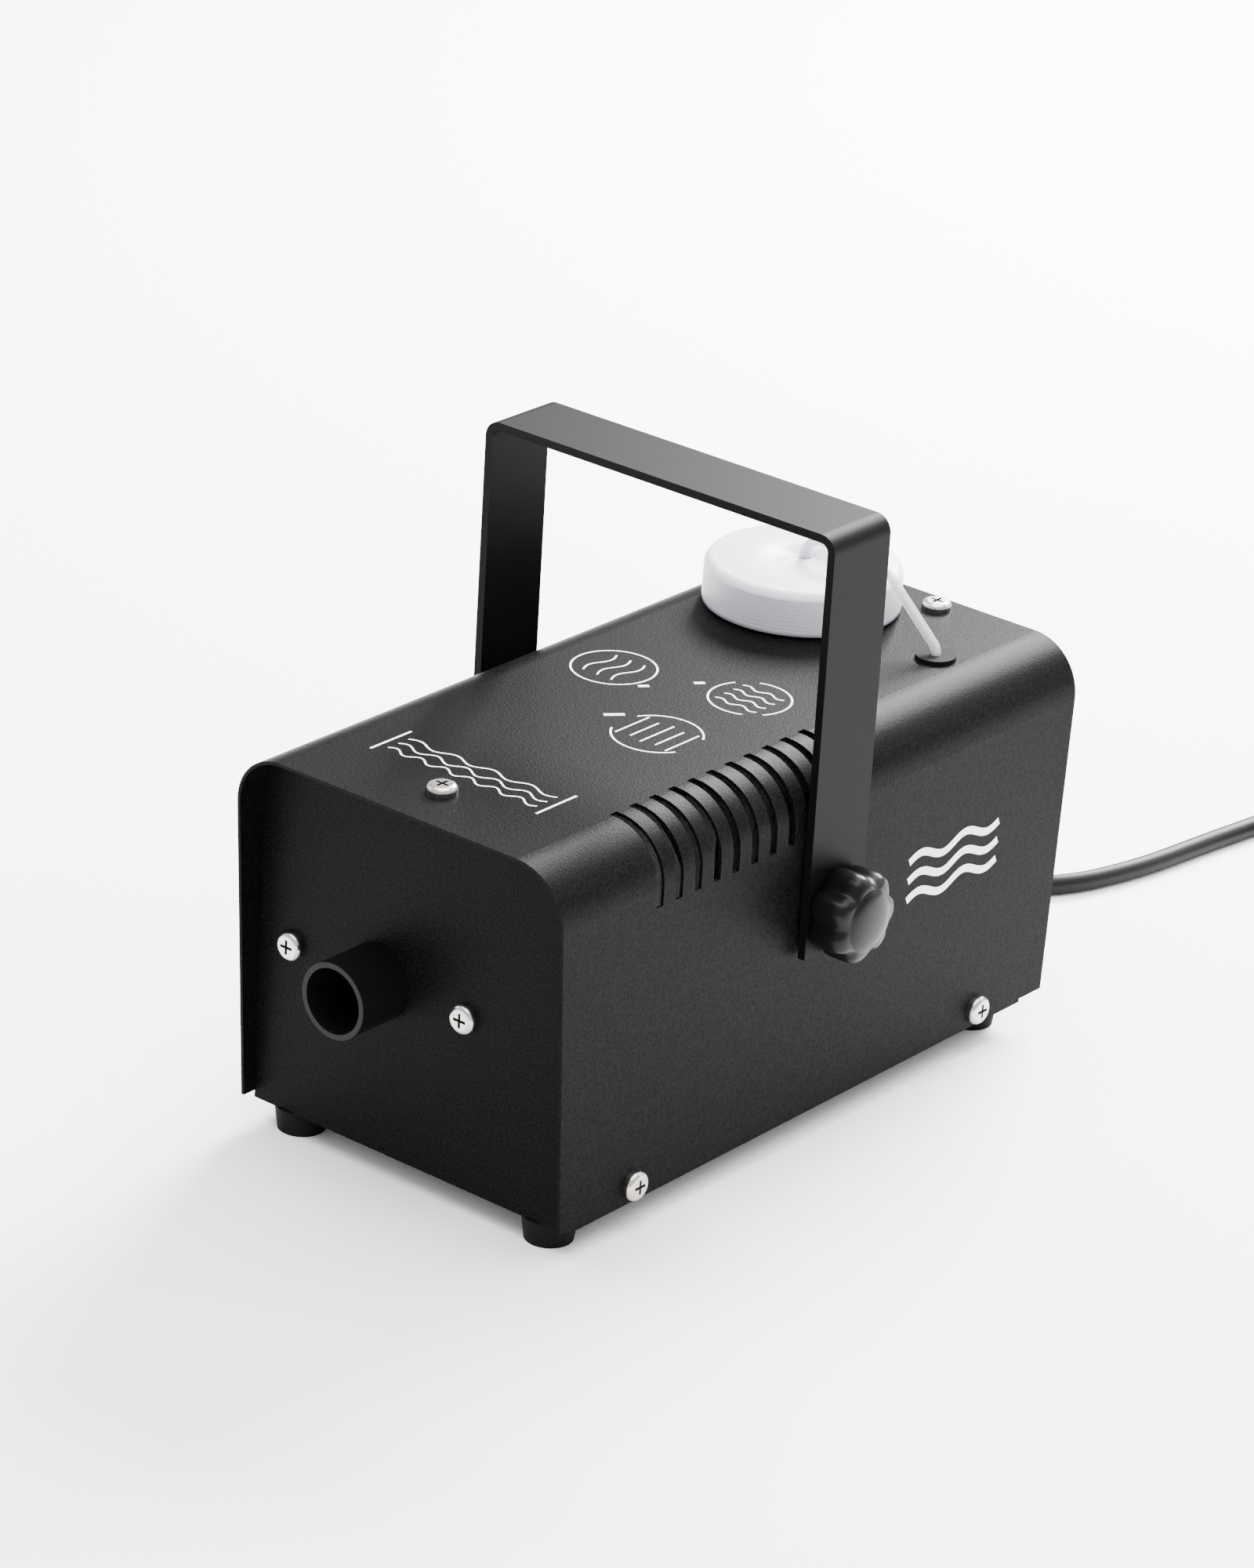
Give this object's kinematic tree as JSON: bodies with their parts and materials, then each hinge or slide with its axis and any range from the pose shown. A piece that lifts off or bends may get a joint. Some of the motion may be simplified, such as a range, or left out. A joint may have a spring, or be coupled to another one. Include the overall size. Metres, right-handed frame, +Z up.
{
  "type": "fog machine",
  "caption": "Compact stage fog machine: vented sheet-metal case, round nozzle, fluid tank with screw cap, tilting strap handle, clamp knobs and mains lead.",
  "frame": {"origin": "middle of the case's footprint on the surface it stands on, the lead left out", "axes": "+Z up, +Y from the nozzle end to the back, +X to the side that is on the right when the back is faced from the front end"},
  "size_m": [0.189, 0.4876, 0.1875],
  "materials": {
    "powder_black": "fine-textured matte powder coat",
    "handle_black": "satin black paint",
    "nozzle_black": "satin heat-proof paint",
    "jet_brass": "machined",
    "heater_alloy": "cast",
    "steel": "zinc plated",
    "nickel": "bright nickel",
    "insulation_white": "ceramic fibre",
    "rubber_black": "matte",
    "knob_plastic": "moulded, soft sheen",
    "cap_plastic": "milky translucent",
    "tank_plastic": "milky translucent",
    "tube_clear": "clear flexible plastic",
    "filter_bronze": "sintered",
    "copper_coil": "lacquered winding",
    "board_green": "solder mask",
    "component_black": "moulded",
    "switch_plastic": "gloss",
    "rocker_red": "gloss",
    "cord_pvc": "soft matte sheath"
  },
  "bodies": {
    "case": {"cover": "powder_black", "chassis": "powder_black", "nozzle_tube": "nozzle_black", "nozzle_jet": "jet_brass", "heater_block": "heater_alloy", "heating_element": "steel", "heater_bracket_front": "steel", "heater_bracket_rear": "steel", "thermostat": "steel", "thermal_fuse": "steel", "pump_bracket": "steel", "pump_body": "steel", "pivot_washer_left": "steel", "pivot_washer_right": "steel", "pivot_nut_left": "steel", "pivot_nut_right": "steel", "heater_insulation": "insulation_white", "pump_coil": "copper_coil", "suction_tube": "tube_clear", "pump_outlet_tube": "tube_clear", "pump_inlet_tube": "tube_clear", "tank": "tank_plastic", "tube_grommet": "rubber_black", "foot_fl": "rubber_black", "foot_fr": "rubber_black", "foot_rl": "rubber_black", "foot_rr": "rubber_black", "intake_filter": "filter_bronze", "control_board": "board_green", "transformer": "component_black", "relay": "component_black", "terminal_block": "component_black", "remote_socket": "component_black", "screw_side_fl": "nickel", "screw_side_rl": "nickel", "screw_side_fr": "nickel", "screw_side_rr": "nickel", "screw_top_front": "nickel", "screw_top_rear": "nickel", "screw_panel_left": "nickel", "screw_panel_right": "nickel", "screw_rear_left": "nickel", "screw_rear_right": "nickel", "switch_bezel": "switch_plastic", "cord_gland": "cord_pvc", "mains_cord": "cord_pvc", "mains_coil": "cord_pvc", "mains_plug": "cord_pvc"},
    "handle": {"handle": "handle_black"},
    "knob_left": {"knob_left": "knob_plastic"},
    "knob_right": {"knob_right": "knob_plastic"},
    "tank_cap": {"tank_cap": "cap_plastic"},
    "rocker": {"rocker": "rocker_red"},
    "pump_plunger": {"pump_plunger": "steel"}
  },
  "joints": [
    {"name": "handle_tilt", "type": "hinge", "parent": "case", "child": "handle", "pos_m": [0, 0.0036, 0.0735], "axis": [1, 0, 0], "range_deg": [-50, 52]},
    {"name": "knob_left_turn", "type": "hinge", "parent": "case", "child": "knob_left", "pos_m": [-0.07, 0.0036, 0.0735], "axis": [1, 0, 0], "continuous": true},
    {"name": "knob_right_turn", "type": "hinge", "parent": "case", "child": "knob_right", "pos_m": [0.07, 0.0036, 0.0735], "axis": [1, 0, 0], "continuous": true},
    {"name": "cap_turn", "type": "hinge", "parent": "case", "child": "tank_cap", "pos_m": [-0.018, 0.0861, 0.125], "axis": [0, 0, 1], "range_deg": [0, 540]},
    {"name": "rocker_tip", "type": "hinge", "parent": "case", "child": "rocker", "pos_m": [0.026, 0.1076, 0.078], "axis": [0, 0, 1], "range_deg": [0, 14]},
    {"name": "plunger_stroke", "type": "slide", "parent": "case", "child": "pump_plunger", "axis": [0, 1, 0], "range_m": [0, 0.0025], "stiffness_N_per_m": 200}
  ]
}
